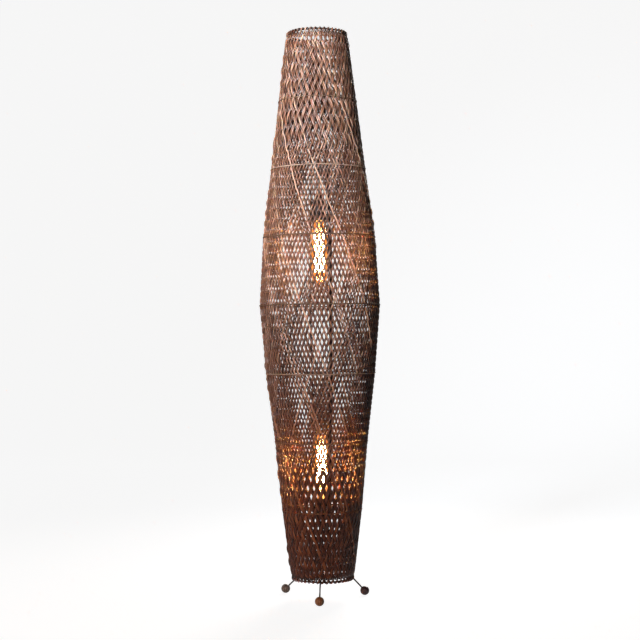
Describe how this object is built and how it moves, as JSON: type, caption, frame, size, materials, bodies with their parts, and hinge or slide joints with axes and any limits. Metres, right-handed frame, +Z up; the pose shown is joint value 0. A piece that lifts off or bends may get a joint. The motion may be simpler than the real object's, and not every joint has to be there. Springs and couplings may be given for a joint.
{
  "type": "floor lamp",
  "caption": "Tall spindle-shaped floor lamp of woven canes over a ribbed wire frame, on splayed wire legs with wooden ball feet, with tubular filament bulbs inside.",
  "frame": {"origin": "on the lamp's vertical axis at floor level, under the centre of the foot circle", "axes": "+Z up along the lamp, -Y towards the front, +X to the right seen from the front"},
  "size_m": [0.3249, 0.325, 1.5],
  "materials": {
    "frame_wire": "satin dark brown paint",
    "leg_wire": "satin dark paint",
    "ball_wood": "stained and waxed",
    "woven_cane": "stained cane, satin",
    "twine": "waxed twine",
    "zinc_steel": "zinc plated",
    "lead_sheath": "matt black",
    "tie_nylon": "matt black nylon",
    "holder_plastic": "dark moulded resin",
    "holder_ceramic": "unglazed white",
    "shell_brass": "polished",
    "bulb_glass": "clear, slightly amber",
    "cap_insulator": "black glaze",
    "filament_wire": "glowing wire"
  },
  "bodies": {
    "lamp": {"top_rim_ring": "frame_wire", "hoop_1": "frame_wire", "hoop_2": "frame_wire", "hoop_3": "frame_wire", "hoop_4": "frame_wire", "hoop_5": "frame_wire", "hoop_6": "frame_wire", "hoop_7": "frame_wire", "bottom_rim_ring": "frame_wire", "rib_1": "frame_wire", "rib_2": "frame_wire", "rib_3": "frame_wire", "rib_4": "frame_wire", "leg_front": "leg_wire", "leg_right": "leg_wire", "leg_left": "leg_wire", "foot_front": "ball_wood", "foot_right": "ball_wood", "foot_left": "ball_wood", "weave_band_1": "woven_cane", "weave_band_2": "woven_cane", "weave_band_3": "woven_cane", "weave_band_4": "woven_cane", "weave_band_5": "woven_cane", "weave_band_6": "woven_cane", "weave_band_7": "woven_cane", "weave_band_8": "woven_cane", "binding_twine": "twine", "upper_spider": "frame_wire", "lower_spider": "frame_wire", "stem_tube": "zinc_steel", "stem_nuts": "zinc_steel", "inner_lead": "lead_sheath", "lead_bushings": "lead_sheath", "inlet_gland": "lead_sheath", "lead_ties": "tie_nylon", "upper_holder_body": "holder_plastic", "upper_holder_cap": "holder_plastic", "upper_shade_rings": "holder_plastic", "upper_holder_insert": "holder_ceramic", "upper_holder_screw_shell": "shell_brass", "upper_holder_contact": "shell_brass", "lower_holder_body": "holder_plastic", "lower_holder_cap": "holder_plastic", "lower_shade_rings": "holder_plastic", "lower_holder_insert": "holder_ceramic", "lower_holder_screw_shell": "shell_brass", "lower_holder_contact": "shell_brass"},
    "upper_bulb": {"upper_bulb_glass": "bulb_glass", "upper_bulb_cap": "shell_brass", "upper_bulb_insulator": "cap_insulator", "upper_bulb_contact": "shell_brass", "upper_bulb_mount": "bulb_glass", "upper_bulb_filament": "filament_wire"},
    "lower_bulb": {"lower_bulb_glass": "bulb_glass", "lower_bulb_cap": "shell_brass", "lower_bulb_insulator": "cap_insulator", "lower_bulb_contact": "shell_brass", "lower_bulb_mount": "bulb_glass", "lower_bulb_filament": "filament_wire"}
  },
  "joints": [
    {"name": "upper_bulb_out", "type": "slide", "parent": "lamp", "child": "upper_bulb", "axis": [0, 0, -1], "range_m": [0, 0.034]},
    {"name": "lower_bulb_out", "type": "slide", "parent": "lamp", "child": "lower_bulb", "axis": [0, 0, 1], "range_m": [0, 0.034]}
  ]
}
